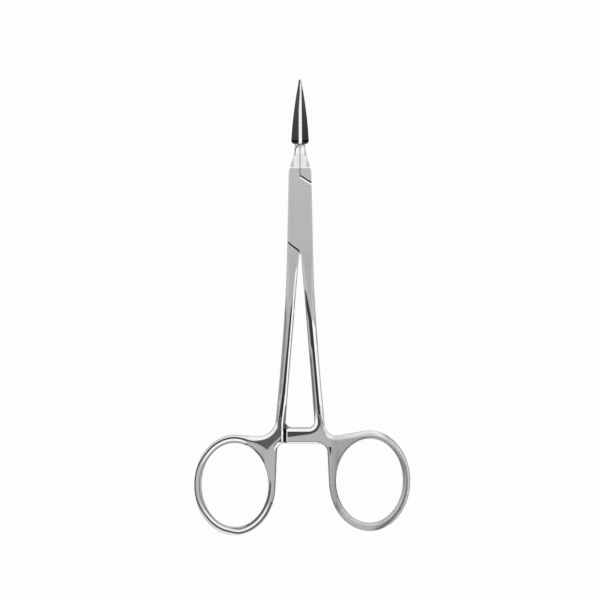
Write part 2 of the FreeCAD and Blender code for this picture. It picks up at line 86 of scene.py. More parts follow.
def band(tree, value, start, end, soft):
    return allOf(tree, above(tree, value, start, soft), below(tree, value, end, soft))


def allOf(tree, first, *others):
    for mask in others:
        first = compute(tree, "MULTIPLY", first, mask)
    return first


def anyOf(tree, first, *others):
    for mask in others:
        first = compute(tree, "MAXIMUM", first, mask)
    return first


def blendValue(tree, mask, low, high):
    node = addNode(tree, "ShaderNodeMix", {"Factor": mask, "A": low, "B": high}, data_type="FLOAT")
    return node.outputs["Result"]


def blendVector(tree, mask, low, high):
    node = addNode(tree, "ShaderNodeMix", {"Factor": mask}, data_type="VECTOR")
    tree.links.new(low, node.inputs[4])
    tree.links.new(high, node.inputs[5])
    return node.outputs[1]


def blendColour(tree, mask, low, high):
    node = addNode(tree, "ShaderNodeMix", data_type="RGBA")
    tree.links.new(mask, node.inputs["Factor"])
    tree.links.new(low, node.inputs[6])
    node.inputs[7].default_value = (*high, 1)
    return node.outputs[2]


def slopeOf(degrees):
    return math.tan(math.radians(degrees))


# Longest side of a right angle, from the two others
def hypotenuse(tree, first, second):
    squares = compute(tree, "ADD", compute(tree, "POWER", first, 2.0),
                      compute(tree, "POWER", second, 2.0))
    return compute(tree, "SQRT", squares)


# Straight line that has the given height at a place and climbs by run from there
def lineThrough(tree, value, place, height, run):
    return scaled(tree, value, run, height - run * place)


# Straight stroke between two points
def stroke(tree, at, start, end, half, soft):
    length = math.dist(start, end)
    runAcross, runAlong = (end[0] - start[0]) / length, (end[1] - start[1]) / length
    fromAcross = scaled(tree, at.across, 1.0, -start[0])
    fromAlong = scaled(tree, at.along, 1.0, -start[1])
    onward = compute(tree, "ADD", compute(tree, "MULTIPLY", fromAcross, runAcross),
                     compute(tree, "MULTIPLY", fromAlong, runAlong))
    aside = compute(tree, "SUBTRACT", compute(tree, "MULTIPLY", fromAcross, runAlong),
                    compute(tree, "MULTIPLY", fromAlong, runAcross))
    return allOf(tree, below(tree, compute(tree, "ABSOLUTE", aside), half, soft),
                 band(tree, onward, 0, length, soft))


# How far a place lies inside an oval
def ovalDepth(tree, at, centre, reach):
    fromAcross = scaled(tree, at.across, 1.0, -centre[0])
    fromAlong = scaled(tree, at.along, 1.0, -centre[1])
    full = hypotenuse(tree, fromAcross, fromAlong)
    share = hypotenuse(tree, scaled(tree, fromAcross, 1 / reach[0]),
                       scaled(tree, fromAlong, 1 / reach[1]))
    return compute(tree, "SUBTRACT", compute(tree, "DIVIDE", full, share), full)


# A mask with the slopes that the steel leans there, given in degrees
def leaning(mask, along, across=0):
    return mask, slopeOf(across), slopeOf(along)


# Steel: satin where it was ground flat, brighter where it was buffed. All places are in
# millimetres, as seen from the front; the back is ground the same way, mirrored.
# Each piece says how its steel leans beyond the modelled shape and where shade or dark reflection is
# painted on.

sharp = 0.05  # width over which a crisp edge turns
middleSoft = 0.02  # the same between the left and the right side
faceLimits = {
    "rounded": (0.3, 0.45),  # takes in the rounded rims
    "open": (0.55, 0.7),
    "flat": (0.97, 0.99),
    "sloping": (0.999, 0.99),  # leaves out the flat faces
}
steelLook = {
    "colour": (0.73, 0.73, 0.728),
    "satinRoughness": 0.25,
    "buffedRoughness": 0.12,
    "satinFrom": -24,  # the flat-ground stretch of the lock and upper shanks
    "satinTo": 12,
    "edgeOfSatin": 3,
    "edgeNormal": 0.985,  # rounded edges steeper than this are bright
    "streakPitch": 0.45,
    "streakLength": 26,
    "streakDetail": 3.0,
    "streakTone": (0.97, 1.025),
    "scratchPitch": 0.07,
    "scratchLength": 5,
    "scratchDetail": 2.0,
    "scratchDepth": 0.04,
    "scratchRoughness": (0.93, 1.08),
    "scratchHeight": 0.02,
    "grainRoughness": 0.55,
    "grainRange": (0.3, 0.7),
    "rightRingRoughness": 0.42,  # this ring was left a little duller
    "rightRingFrom": 8.5,
    "rightRingSoft": 1.0,
    "rightRingFade": (-57, -60),
}

# Rims: they keep the tone of the flat faces above the shanks, and get painted shade below

rimLook = {
    # painted shade on the steep rims below the shanks
    "colour": (0.46, 0.46, 0.46),
    "steeperThan": 0.62,
    "steepSoft": 0.14,
    "endsFrom": 0.7,  # ends that face along the length stay bright
    "endsSoft": 0.1,
    "darkFade": (-22, -32),
    "calmSlope": 2,
    "calmFacing": (0.4, 0.55),
    "calmFade": (-30, -20),
    "lockTop": 11.7,
    "lockTopSoft": 0.02,
    "neckSpan": (11.9, 15.0),
    "neckSoft": 0.3,
    "neckSide": 1.4,
    "neckSideSoft": 0.5,
    "outerFacing": (0.45, 0.6),
    "outerFrom": 1.0,
    "outerSoft": 0.5,
    "outerSpan": (-37, -20),
    "outerSpanSoft": 3,
}


def leanOfRims(tree, at):
    look = rimLook
    sloping = fade(tree, at.facing, *faceLimits["sloping"])
    neckSides = allOf(tree, band(tree, at.along, *look["neckSpan"], look["neckSoft"]),
                      above(tree, at.fromAxis, look["neckSide"], look["neckSideSoft"]))
    underNeck = below(tree, at.along, look["lockTop"], look["lockTopSoft"])
    calm = allOf(tree, fade(tree, at.facing, *look["calmFacing"]),
                 anyOf(tree, underNeck, neckSides), fade(tree, at.along, *look["calmFade"]), sloping)
    outer = allOf(tree, fade(tree, at.facing, *look["outerFacing"]),
                  above(tree, at.across, look["outerFrom"], look["outerSoft"]),
                  band(tree, at.along, *look["outerSpan"], look["outerSpanSoft"]), sloping)
    return [leaning(calm, look["calmSlope"]), leaning(outer, look["calmSlope"])]


# Where the steep rims get painted shade
def paintedShadeOnRims(tree, at):
    look = rimLook
    return allOf(tree, below(tree, at.facing, look["steeperThan"], look["steepSoft"]),
                 below(tree, at.fromSide, look["endsFrom"], look["endsSoft"]),
                 fade(tree, at.along, *look["darkFade"]))


# Palms: flat beside the rings, with a bright corner on the left, bright upper edges and painted shade
# on their steep rims

palmLook = {
    # painted shade on the steep rims of the palm branches
    "colour": (0.32, 0.32, 0.32),
    "leftBranch": (-9.4, -5.2),
    "leftFrom": -61.4,
    "leftSoft": 0.4,
    "rightBranch": (4.9, 9.4),
    "rightFrom": -59.2,
    "rightSoft": 0.2,
    "branchSoft": 0.2,
    "branchFacing": (0.6, 0.75),
    "darkSoft": 0.5,
    "corner": (-6.9, -3.8),
    "cornerSoft": 0.1,
    "cornerTop": -60.2,
    "cornerFade": (-63.6, -61.2),
    "cornerFlattest": (0.99, 0.96),
    "cornerSteepest": (0.3, 0.5),
    "cornerSlope": 10,
    "topStart": (6.1, 6.7),
    "topEnd": (27.0, 19.0),
    "topSpan": (-62, -53),
    "topSoft": 0.5,
    "topUpward": (0.1, 0.25),
    "topFacing": (0.25, 0.4),
    "topSlope": 9,
}


def leanOfPalms(tree, at):
    look = palmLook
    left = allOf(tree, band(tree, at.across, *look["leftBranch"], look["branchSoft"]),
                 below(tree, at.along, look["leftFrom"], look["leftSoft"]))
    right = allOf(tree, band(tree, at.across, *look["rightBranch"], look["branchSoft"]),
                  below(tree, at.along, look["rightFrom"], look["rightSoft"]))
    flat = allOf(tree, anyOf(tree, left, right), fade(tree, at.facing, *look["branchFacing"]))
    corner = allOf(tree, band(tree, at.across, *look["corner"], look["cornerSoft"]),
                   fade(tree, at.along, *look["cornerFade"]),
                   fade(tree, at.facing, *look["cornerFlattest"]),
                   fade(tree, at.facing, *look["cornerSteepest"]),
                   below(tree, at.along, look["cornerTop"], look["cornerSoft"]))
    tops = allOf(tree, fade(tree, at.fromAxis, *look["topStart"]),
                 fade(tree, at.fromAxis, *look["topEnd"]),
                 band(tree, at.along, *look["topSpan"], look["topSoft"]),
                 fade(tree, at.lengthways, *look["topUpward"]),
                 fade(tree, at.facing, *look["topFacing"]))
    return [leaning(flat, 0), leaning(corner, look["cornerSlope"]), leaning(tops, look["topSlope"])]


# Where the palm branches get painted shade
def paintedShadeOnPalms(tree, at):
    look = palmLook
    branches = anyOf(tree, band(tree, at.across, *look["leftBranch"], look["branchSoft"]),
                     band(tree, at.across, *look["rightBranch"], look["branchSoft"]))
    return allOf(tree, paintedShadeOnRims(tree, at), branches,
                 below(tree, at.along, look["leftFrom"], look["darkSoft"]))


# Shoulders of the lock: a line of painted shade at each, a light bevel under the upper one

shoulderLook = {
    "upper": ((-0.1, 9.83), (2.98, 7.91)),
    "lower": ((-3.42, -7.57), (0.05, -10.31)),
    "half": 0.21,
    "light": ((-0.1, 9.31), (2.98, 7.39)),
    "lightHalf": 0.17,
    "lightSoft": 0.06,
    "span": (5.5, 12.0),
    "spanSoft": 0.1,
    "facing": (0.62, 0.80),
    "facingSoft": 0.03,
    "lengthways": 0.45,
    "slope": 11,
}


def leanOfShoulders(tree, at):
    look = shoulderLook
    bevel = allOf(tree, band(tree, at.facing, *look["facing"], look["facingSoft"]),
                  band(tree, at.fromPivot, *look["span"], look["spanSoft"]),
                  above(tree, at.fromSide, look["lengthways"], sharp),
                  above(tree, at.lengthways, 0, sharp))
    light = allOf(tree, at.openFace, stroke(tree, at, *look["light"], look["lightHalf"],
                                            look["lightSoft"]))
    return [leaning(bevel, look["slope"]), leaning(light, look["slope"])]


# Inside of the lock: painted shade, grey on the plate and black at the walls

crevice = {
    # painted shade, black on the walls, the slit and the shoulder lines
    "colour": (0.035, 0.033, 0.03),
    # painted shade, grey on the plate inside the lock
    "plateShade": (0.42, 0.42, 0.418),
    "top": 1.75,  # how far from the middle plane the inside reaches
    "halfWidth": 2.6,
    "halfLength": 11.4,
    "wall": 0.5,  # shoulder walls face along the length by more than this
    "wallSoft": 0.1,
}


def creviceShades(tree, at):
    look = crevice
    walls = above(tree, at.fromSide, look["wall"], look["wallSoft"])
    inside = allOf(tree, below(tree, at.height, look["top"], sharp),
                   anyOf(tree, below(tree, at.fromAxis, look["halfWidth"], sharp), walls),
                   below(tree, at.fromPivot, look["halfLength"], sharp))
    # painted shade: black lines along both shoulders
    lines = anyOf(tree, *[stroke(tree, at, *shoulderLook[name], shoulderLook["half"], sharp)
                          for name in ("upper", "lower")])
    dark = anyOf(tree, allOf(tree, inside, walls), gripSlit(tree, at), lines)
    return [(inside, look["plateShade"]), (dark, look["colour"])]


# Neck: painted shade a little darker than the lock, and an arc of painted dark reflection that curls
# out from under the left jaw

neckLook = {
    # painted shade on the neck
    "colour": (0.62, 0.62, 0.62),
    "span": (11.85, 15.6),
    # painted shade, a little lighter, at the sides of the neck
    "edgeColour": (0.66, 0.66, 0.66),
    "edgeFrom": 1.2,
    "edgeSpan": (11.85, 17.6),
    "soft": 0.15,
    # painted dark reflection along the arc
    "arcColour": (0.13, 0.13, 0.13),
    "arcCentre": (0.35, 15.9),
    "arcReach": (1.65, 2.2),
    "arcBand": (0.92, 1.08),
    "arcBandSoft": 0.03,
    "arcFromSoft": 0.4,
    "arcRight": 1.1,
    "arcRightSoft": 0.2,
    "lineColour": (0.22, 0.22, 0.22),  # painted shade in the parting line between the halves
    "lineHalf": 0.15,
    "lineSoft": 0.03,
    "lineSpan": (9.9, 18.0),
}


def neckShades(tree, at):
    look = neckLook
    neck = band(tree, at.along, *look["span"], look["soft"])
    edge = allOf(tree, band(tree, at.along, *look["edgeSpan"], look["soft"]),
                 above(tree, at.fromAxis, look["edgeFrom"], look["soft"]))
    arcAcross, arcAlong = look["arcCentre"]
    halfAcross, halfAlong = look["arcReach"]
    distance = hypotenuse(tree, scaled(tree, at.across, 1 / halfAcross, -arcAcross / halfAcross),
                          scaled(tree, at.along, 1 / halfAlong, -arcAlong / halfAlong))
    arc = allOf(tree, band(tree, distance, *look["arcBand"], look["arcBandSoft"]),
                above(tree, at.along, arcAlong, look["arcFromSoft"]),
                below(tree, at.across, look["arcRight"], look["arcRightSoft"]))
    return [(neck, look["colour"]), (edge, look["edgeColour"]), (arc, look["arcColour"])]


# Painted shade along the gap between the two halves
def partingLine(tree, at):
    look = neckLook
    return allOf(tree, below(tree, at.fromAxis, look["lineHalf"], look["lineSoft"]),
                 band(tree, at.along, *look["lineSpan"], sharp))


# Jaws: painted dark reflection on the sides, and a bright strip that narrows towards the tips

jawLook = {
    # painted dark reflection on the jaw sides
    "colour": (0.055, 0.055, 0.057),
    "from": 18.1,
    "fromSoft": 0.1,
    "biteHalf": 0.3,
    "stripSlope": 11,
    "stripSpan": (18.2, 35.0),
    "stripSoft": 0.06,
    "leftEdge": (-0.4, -0.27),
    "upperSpan": (27.0, 35.0),
    "upperLeftEdge": (-0.33, 0.15),
    "rightEdge": (0.5, 0.34),
}


# Left and right edge of the bright strip
def stripEdges(tree, at):
    look = jawLook
    left = compute(tree, "MAXIMUM", ramp(tree, at.along, *look["stripSpan"], *look["leftEdge"]),
                   ramp(tree, at.along, *look["upperSpan"], *look["upperLeftEdge"]))
    return left, ramp(tree, at.along, *look["stripSpan"], *look["rightEdge"])


def leanOfJaws(tree, at):
    look = jawLook
    left, right = stripEdges(tree, at)
    strip = allOf(tree, above(tree, at.along, look["from"], look["fromSoft"]),
                  above(tree, at.across, left, look["stripSoft"]),
                  below(tree, at.across, right, look["stripSoft"]))
    return [leaning(strip, look["stripSlope"])]


# Where the jaws' sides get painted dark reflection
def darkReflectionOnJaws(tree, at):
    look = jawLook
    left, right = stripEdges(tree, at)
    outside = anyOf(tree, below(tree, at.across, left, look["stripSoft"]),
                    above(tree, at.across, right, look["stripSoft"]))
    bite = above(tree, compute(tree, "ADD", at.fromAxis, at.facing), look["biteHalf"], sharp)
    return allOf(tree, outside, above(tree, at.along, look["from"], sharp), bite)


# Shanks: a ridge runs down each from the crotch, dark on its left and bright on its right

rightShank = {
    "start": (1.56, -20.55),  # across and along
    "turn": (3.11, -28.17),
    "run": -0.089,
    "darkSlope": 16,
    "darkStartWidth": 0.3,
    "darkFullWidth": 0.95,
    "darkWidens": 4,  # length over which the dark streak widens
    "darkFade": (1.25, 0.35),
    "darkEnd": -53.5,
    "darkSoft": 1.0,
    "levelFacing": (0.8, 0.87),
    "levelSpan": (-58, -49),
    "levelSoft": 1,
    "strokes": (((5.15, -47.5), (5.6, -52.0)), ((5.6, -52.0), (6.7, -57.2))),
    "strokeHalf": 0.2,
    "strokeSoft": 0.14,
    "strokeSlope": 10,
    "brightSlope": 38,
    "brightSpan": (-57.5, -27.3),
    "brightWidens": (-27, -33),
    "brightWidth": (0.0, 1.5),
    "drift": (-50, -57),  # here the bright strip leaves the ridge
    "driftBy": (0.0, -1.5),
}
leftShank = {
    "start": (-1.39, -16.6),
    "run": 0.0826,
    "turn": (-3.9, -47.0),
    "lastRun": 0.122,
    "limit": -4.93,
    "darkSlope": 16,
    "darkWidens": (-24, -55),
    "darkWidth": (0.15, 1.2),
    "darkFade": (1.25, 0.5),
    "darkSpan": (-58.7, -24),
    "darkSoft": 0.3,
    "heelSlope": -6,  # darker edge beside the ridge where that narrows
    "heelSpan": (-57, -49),
    "heelSoft": 1.0,
    "heelRight": -3.55,
    "brightSlope": 38,
    "brightSpan": (-60.3, -12),
    "brightRight": -0.4,
    "brightRightSoft": 0.1,
    "narrows": (-47, -51),
    "brightWidth": (1.3, 0.45),
    "point": (-16, -12),
    "pointOffset": (0, 0.7),
    "slitSoft": 1.0,
}


def leanOfRightShank(tree, at):
    look = rightShank
    startAcross, startAlong = look["start"]
    turnAcross, turnAlong = look["turn"]
    steepRun = (turnAcross - startAcross) / (turnAlong - startAlong)
    ridge = compute(tree, "MINIMUM", lineThrough(tree, at.along, startAlong, startAcross, steepRun),
                    lineThrough(tree, at.along, turnAlong, turnAcross, look["run"]))
    inside = compute(tree, "SUBTRACT", ridge, at.across)
    width = ramp(tree, at.along, startAlong, startAlong - look["darkWidens"],
                 look["darkStartWidth"], look["darkFullWidth"])
    dark = allOf(tree, above(tree, inside, 0, sharp),
                 fade(tree, compute(tree, "DIVIDE", inside, width), *look["darkFade"]),
                 allOf(tree, at.onRight, at.openFace,
                       band(tree, at.along, look["darkEnd"], startAlong, look["darkSoft"])))
    level = allOf(tree, below(tree, inside, 0, sharp), at.onRight,
                  fade(tree, at.facing, *look["levelFacing"]),
                  band(tree, at.along, *look["levelSpan"], look["levelSoft"]))
    leans = [leaning(dark, 0, look["darkSlope"]), leaning(level, 0)]
    rounded = fade(tree, at.facing, *faceLimits["rounded"])
    for start, end in look["strokes"]:
        line = stroke(tree, at, start, end, look["strokeHalf"], look["strokeSoft"])
        leans.append(leaning(allOf(tree, line, rounded), look["strokeSlope"]))
    drift = ramp(tree, at.along, *look["drift"], *look["driftBy"])
    reachOut = ramp(tree, at.along, *look["brightWidens"], *look["brightWidth"])
    bright = allOf(tree, below(tree, compute(tree, "SUBTRACT", inside, drift), 0, sharp), at.onRight,
                   above(tree, compute(tree, "ADD", inside, reachOut), 0, sharp),
                   at.openFace, band(tree, at.along, *look["brightSpan"], sharp))
    leans.append(leaning(bright, 0, look["brightSlope"]))
    return leans


def leanOfLeftShank(tree, at):
    look = leftShank
    startAcross, startAlong = look["start"]
    turnAcross, turnAlong = look["turn"]
    ridge = compute(tree, "MINIMUM", lineThrough(tree, at.along, startAlong, startAcross, look["run"]),
                    lineThrough(tree, at.along, turnAlong, turnAcross, look["lastRun"]))
    ridge = compute(tree, "MAXIMUM", look["limit"], ridge)
    inside = compute(tree, "SUBTRACT", ridge, at.across)
    width = ramp(tree, at.along, *look["darkWidens"], *look["darkWidth"])
    dark = allOf(tree, above(tree, inside, 0, sharp),
                 fade(tree, compute(tree, "DIVIDE", inside, width), *look["darkFade"]),
                 allOf(tree, at.onLeft, at.openFace,
                       band(tree, at.along, *look["darkSpan"], look["darkSoft"])))
    beyond = compute(tree, "ADD", inside,
                     ramp(tree, at.along, *look["narrows"], *look["brightWidth"]))
    heel = allOf(tree, below(tree, beyond, 0, sharp), at.onLeft, at.openFace,
                 below(tree, at.across, look["heelRight"], sharp),
                 band(tree, at.along, *look["heelSpan"], look["heelSoft"]))
    pointed = compute(tree, "ADD", inside, ramp(tree, at.along, *look["point"], *look["pointOffset"]))
    clearOfSlit = anyOf(tree, above(tree, at.along, gripEdge["shadeTop"], look["slitSoft"]),
                        below(tree, at.across, gripEdge["left"], sharp))
    bright = allOf(tree, below(tree, pointed, 0, sharp), above(tree, beyond, 0, sharp),
                   at.onLeft, at.openFace, band(tree, at.along, *look["brightSpan"], sharp),
                   below(tree, at.across, look["brightRight"], look["brightRightSoft"]), clearOfSlit)
    return [leaning(dark, 0, look["darkSlope"]), leaning(heel, look["heelSlope"]),
            leaning(bright, 0, look["brightSlope"])]


# Left grip at the ratchet: painted shade in the gap between it and the end of the front bar, black in
# the slit below the front face

gripEdge = {
    # painted shade in the gap beside the end of the front bar
    "colour": (0.16, 0.16, 0.16),
    "foot": -60.3,
    "shadeTop": -55.5,
    "shadeSoft": 0.5,
    "slitTop": -57.0,
    "slitSoft": 0.2,
    "left": -4.35,
    "right": -3.6,
    "under": 2.19,  # below the front face
    "underSoft": 0.01,
}


# Painted shade: the black slit, coloured in creviceShades
def gripSlit(tree, at):
    look = gripEdge
    return allOf(tree, band(tree, at.along, look["foot"], look["slitTop"], look["slitSoft"]),
                 band(tree, at.across, look["left"], look["right"], sharp),
                 below(tree, at.height, look["under"], look["underSoft"]))


def gripShade(tree, at):
    look = gripEdge
    return allOf(tree, band(tree, at.along, look["foot"], look["shadeTop"], look["shadeSoft"]),
                 band(tree, at.across, look["left"], look["right"], sharp))


# Ratchet bars: the front one has bright lips and a dark bevel, the rear one, behind it, gets painted
# shade

frontBar = {
    "innerAt": (3.04, -45.0),  # the inner edge of the right shank, which the upper lip follows
    "innerRun": -0.073,
    "rootRound": 1.8,
    "rootLevel": -54.7,
    "end": -3.68,
    "right": 6.2,
    "foot": -60.6,
    "topFade": (-50, -55),
    "front": 0.1,  # above the middle plane
    "lipSlope": 10,
    "lipFrom": 0.25,
    "lipTurn": (-50, -56),
    "lipTo": (0.7, 0.95),
    "darkSlope": -12,
    "darkSpan": (-3.5, 3.0),
    "darkWidth": (1.55, 0.7),
    "darkSoft": 0.3,
    "edgeMargin": 0.1,
    "endLipWidth": 0.35,
    "endLipTop": -56.4,
    "footLipHeight": 0.45,
    "footLipRight": 4.7,
}
rearBar = {
    # painted shade where the rear bar lies behind the front one
    "colour": (0.38, 0.38, 0.38),
    "across": (-5.0, 3.6),
    "along": (-60.5, -53.0),
    "alongSoft": 0.3,
    "under": 1.9,
    "underSoft": 0.1,
    "facing": (0.9, 0.95),
}


def leanOfFrontBar(tree, at):
    look = frontBar
    front = above(tree, at.height, look["front"], sharp)
    innerAcross, innerAlong = look["innerAt"]
    inner = lineThrough(tree, at.along, innerAlong, innerAcross, look["innerRun"])
    past = compute(tree, "ADD", compute(tree, "SUBTRACT", at.across, inner), look["rootRound"])
    beside = compute(tree, "MAXIMUM", past, 0.0)
    under = compute(tree, "MAXIMUM", compute(tree, "SUBTRACT", look["rootLevel"], at.along), 0.0)
    depth = scaled(tree, hypotenuse(tree, beside, under), 1.0, -look["rootRound"])
    zone = allOf(tree, front, at.openFace, band(tree, at.across, look["end"], look["right"], sharp),
                 above(tree, at.along, look["foot"], sharp), fade(tree, at.along, *look["topFade"]))
    lipTo = ramp(tree, at.along, *look["lipTurn"], *look["lipTo"])
    darkTo = compute(tree, "ADD", lipTo,
                     ramp(tree, at.across, *look["darkSpan"], *look["darkWidth"]))
    dark = allOf(tree, zone, above(tree, depth, lipTo, sharp),
                 below(tree, depth, darkTo, look["darkSoft"]))
    upperLip = allOf(tree, zone, band(tree, depth, look["lipFrom"], lipTo, sharp))
    lowest = look["foot"] - look["edgeMargin"]
    leftmost = look["end"] - look["edgeMargin"]
    endLip = allOf(tree, front, at.openFace,
                   band(tree, at.along, lowest, look["endLipTop"], sharp),
                   band(tree, at.across, leftmost, look["end"] + look["endLipWidth"], sharp))
    footLip = allOf(tree, front, at.openFace,
                    band(tree, at.across, look["end"], look["footLipRight"], sharp),
                    band(tree, at.along, lowest, look["foot"] + look["footLipHeight"], sharp))
    return [leaning(dark, look["darkSlope"]),
            leaning(anyOf(tree, upperLip, endLip, footLip), look["lipSlope"])]


def paintedShadeOnRearBar(tree, at):
    look = rearBar
    return allOf(tree, below(tree, at.height, look["under"], look["underSoft"]),
                 band(tree, at.across, *look["across"], sharp),
                 band(tree, at.along, *look["along"], look["alongSoft"]),
                 fade(tree, at.facing, *look["facing"]))


# Dark facet where the left shank runs into its ring

leftFacet = {
    "foot": (-8.41, -62.16),
    "footRun": 0.95,
    "footSoft": 0.8,
    "ringFoot": (-11.8, -60.42),
    "ringFootRun": -0.605,
    "ringFootSoft": 0.5,
    "leftFade": (-13.1, -10.8),
    "rightSoft": 0.1,
    "topFade": (-51, -55),
    "slope": -7,
}


def leanOfLeftFacet(tree, at):
    look = leftFacet
    footAcross, footAlong = look["foot"]
    ringAcross, ringAlong = look["ringFoot"]
    foot = lineThrough(tree, at.across, footAcross, footAlong, look["footRun"])
    ringFoot = lineThrough(tree, at.across, ringAcross, ringAlong, look["ringFootRun"])
    facet = allOf(tree, fade(tree, at.facing, *faceLimits["flat"]),
                  above(tree, at.along, foot, look["footSoft"]),
                  above(tree, at.along, ringFoot, look["ringFootSoft"]),
                  fade(tree, at.across, *look["leftFade"]),
                  below(tree, at.across, leftShank["limit"], look["rightSoft"]),
                  fade(tree, at.along, *look["topFade"]))
    return [leaning(facet, look["slope"])]


# Left ring: from the outer edge inwards a light rim, a dark line, a white band and a grey
# line, with one more dark line along the inner edge on its right

leftRing = {
    "outerCentre": (-17.25, -71.45),
    "outerReach": (10.8, 13.25),
    "innerCentre": (-17.2, -71.4),
    "innerReach": (8.95, 11.0),
    "depthSpan": (-0.6, 2.6),
    "depthSoft": 0.1,
    "right": -14.0,
    "rightSoft": 0.8,
    "lowerTop": -76,
    "lowerTopSoft": 1.0,
    "lowerRight": -7,
    "lowerRightSoft": 0.1,
    "turning": (3, 9),  # height from the centre over which the bands strengthen
    "sideDepth": 0.46,  # of the dark line inside the outer edge
    "topDepth": 0.9,
    "shallowFade": (-19, -15.5),  # lower right, where the dark line stays near the edge
    "shallowSoft": 1,
    "calmSlope": 2,
    "lineSoft": 0.12,
    "rimEnd": -0.25,  # this and the bands below are counted from the dark line
    "rimSlope": 8,
    "darkSlope": -13,
    "darkBand": (-0.18, 0.18),
    "darkStrength": (0.4, 0.6),
    "whiteSlope": 11,
    "whiteBand": (0.3, 0.75),
    "whiteStrength": (0.85, 0.15),
    "greyBand": (1.0, 1.25),
    "greyStrength": 0.5,
    "innerBand": (-0.6, -0.25),
    "innerFrom": -14,
    "innerFromSoft": 1.0,
    "innerFade": (-69, -73),
    "neckStroke": ((-15.3, -59.42), (-10.6, -60.55)),  # leads the dark line into the facet
    "neckStrokeHalf": 0.2,
}


def leanOfLeftRing(tree, at):
    look = leftRing
    depth = ovalDepth(tree, at, look["outerCentre"], look["outerReach"])
    innerDepth = ovalDepth(tree, at, look["innerCentre"], look["innerReach"])
    upward = scaled(tree, at.along, 1.0, -look["outerCentre"][1])
    turning = fade(tree, compute(tree, "ABSOLUTE", upward), *look["turning"])
    shallow = allOf(tree, below(tree, upward, 0, look["shallowSoft"]),
                    fade(tree, at.across, *look["shallowFade"]))
    deepening = compute(tree, "MULTIPLY", turning, compute(tree, "SUBTRACT", 1.0, shallow))
    darkAt = scaled(tree, deepening, look["topDepth"] - look["sideDepth"], look["sideDepth"])
    past = compute(tree, "SUBTRACT", depth, darkAt)
    rounded = fade(tree, at.facing, *faceLimits["rounded"])
    leftPart = below(tree, at.across, look["right"], look["rightSoft"])
    lowerPart = allOf(tree, below(tree, at.along, look["lowerTop"], look["lowerTopSoft"]),
                      below(tree, at.across, look["lowerRight"], look["lowerRightSoft"]))
    zone = allOf(tree, rounded, band(tree, depth, *look["depthSpan"], look["depthSoft"]), at.onLeft,
                 anyOf(tree, leftPart, lowerPart))
    rim = allOf(tree, zone, below(tree, past, look["rimEnd"], look["lineSoft"]), turning)
    white = allOf(tree, zone, band(tree, past, *look["whiteBand"], look["depthSoft"]),
                  scaled(tree, turning, *look["whiteStrength"]))
    grey = allOf(tree, zone, band(tree, past, *look["greyBand"], look["depthSoft"]),
                 look["greyStrength"])
    dark = allOf(tree, zone, band(tree, past, *look["darkBand"], look["lineSoft"]),
                 scaled(tree, turning, *look["darkStrength"]))
    inner = allOf(tree, band(tree, innerDepth, *look["innerBand"], look["lineSoft"]), rounded,
                  at.onLeft, above(tree, at.across, look["innerFrom"], look["innerFromSoft"]),
                  fade(tree, at.along, *look["innerFade"]))
    neck = allOf(tree, at.openFace, stroke(tree, at, *look["neckStroke"], look["neckStrokeHalf"],
                                           look["lineSoft"]))
    return [leaning(zone, look["calmSlope"]), leaning(rim, look["rimSlope"]),
            leaning(white, look["whiteSlope"]), leaning(grey, look["darkSlope"]),
            leaning(dark, look["darkSlope"]), leaning(inner, look["darkSlope"]),
            leaning(neck, look["darkSlope"])]


# Right ring: a white band along its bottom, a dark line inside its left branch

rightRing = {
    "outerCentre": (18.3, -70.3),
    "outerReach": (10.6, 12.9),
    "innerCentre": (18.2, -70.3),
    "innerReach": (8.6, 10.7),
    "depthSpan": (-0.5, 2.6),
    "depthSoft": 0.1,
    "bottomFade": (-75, -80),
    "bottomRightFade": (25, 18),
    "bottomSlope": 4,
    "whiteBand": (1.0, 1.5),
    "whiteSoft": 0.15,
    "whiteSlope": 11,
    "innerBand": (-0.5, -0.2),
    "innerSoft": 0.12,
    "innerTo": 14,
    "innerToSoft": 1.0,
    "innerFade": (-67, -72),
    "innerSlope": -13,
}


def leanOfRightRing(tree, at):
    look = rightRing
    depth = ovalDepth(tree, at, look["outerCentre"], look["outerReach"])
    innerDepth = ovalDepth(tree, at, look["innerCentre"], look["innerReach"])
    rounded = fade(tree, at.facing, *faceLimits["rounded"])
    bottom = allOf(tree, at.onRight, rounded,
                   band(tree, depth, *look["depthSpan"], look["depthSoft"]),
                   fade(tree, at.along, *look["bottomFade"]),
                   fade(tree, at.across, *look["bottomRightFade"]))
    white = allOf(tree, bottom, band(tree, depth, *look["whiteBand"], look["whiteSoft"]))
    inner = allOf(tree, band(tree, innerDepth, *look["innerBand"], look["innerSoft"]), rounded,
                  at.onRight, below(tree, at.across, look["innerTo"], look["innerToSoft"]),
                  fade(tree, at.along, *look["innerFade"]))
    return [leaning(bottom, look["bottomSlope"]), leaning(white, look["whiteSlope"]),
            leaning(inner, look["innerSlope"])]


# Small dark hollow in the right palm, pointed at its foot, with a light line beside it

palmNick = {
    "top": -61.5,
    "drop": 2.3,
    "left": 7.5,
    "leftTaper": 0.55,
    "right": 8.28,
    "rightTaper": -0.2,
    "endSoft": 0.06,
    "sideSoft": 0.1,
    "slope": -13,
    "line": ((6.26, -61.3), (7.52, -64.05)),
    "lineHalf": 0.1,
    "lineSoft": 0.12,
    "lineSlope": 8,
}


def leanOfNick(tree, at):
    look = palmNick
    share = scaled(tree, at.along, -1 / look["drop"], look["top"] / look["drop"])
    left = scaled(tree, share, look["leftTaper"], look["left"])
    right = scaled(tree, share, look["rightTaper"], look["right"])
    nick = allOf(tree, at.openFace, band(tree, share, 0, 1, look["endSoft"]),
                 above(tree, at.across, left, look["sideSoft"]),
                 below(tree, at.across, right, look["sideSoft"]))
    line = allOf(tree, at.openFace,
                 stroke(tree, at, *look["line"], look["lineHalf"], look["lineSoft"]))
    return [leaning(nick, look["slope"]), leaning(line, look["lineSlope"])]


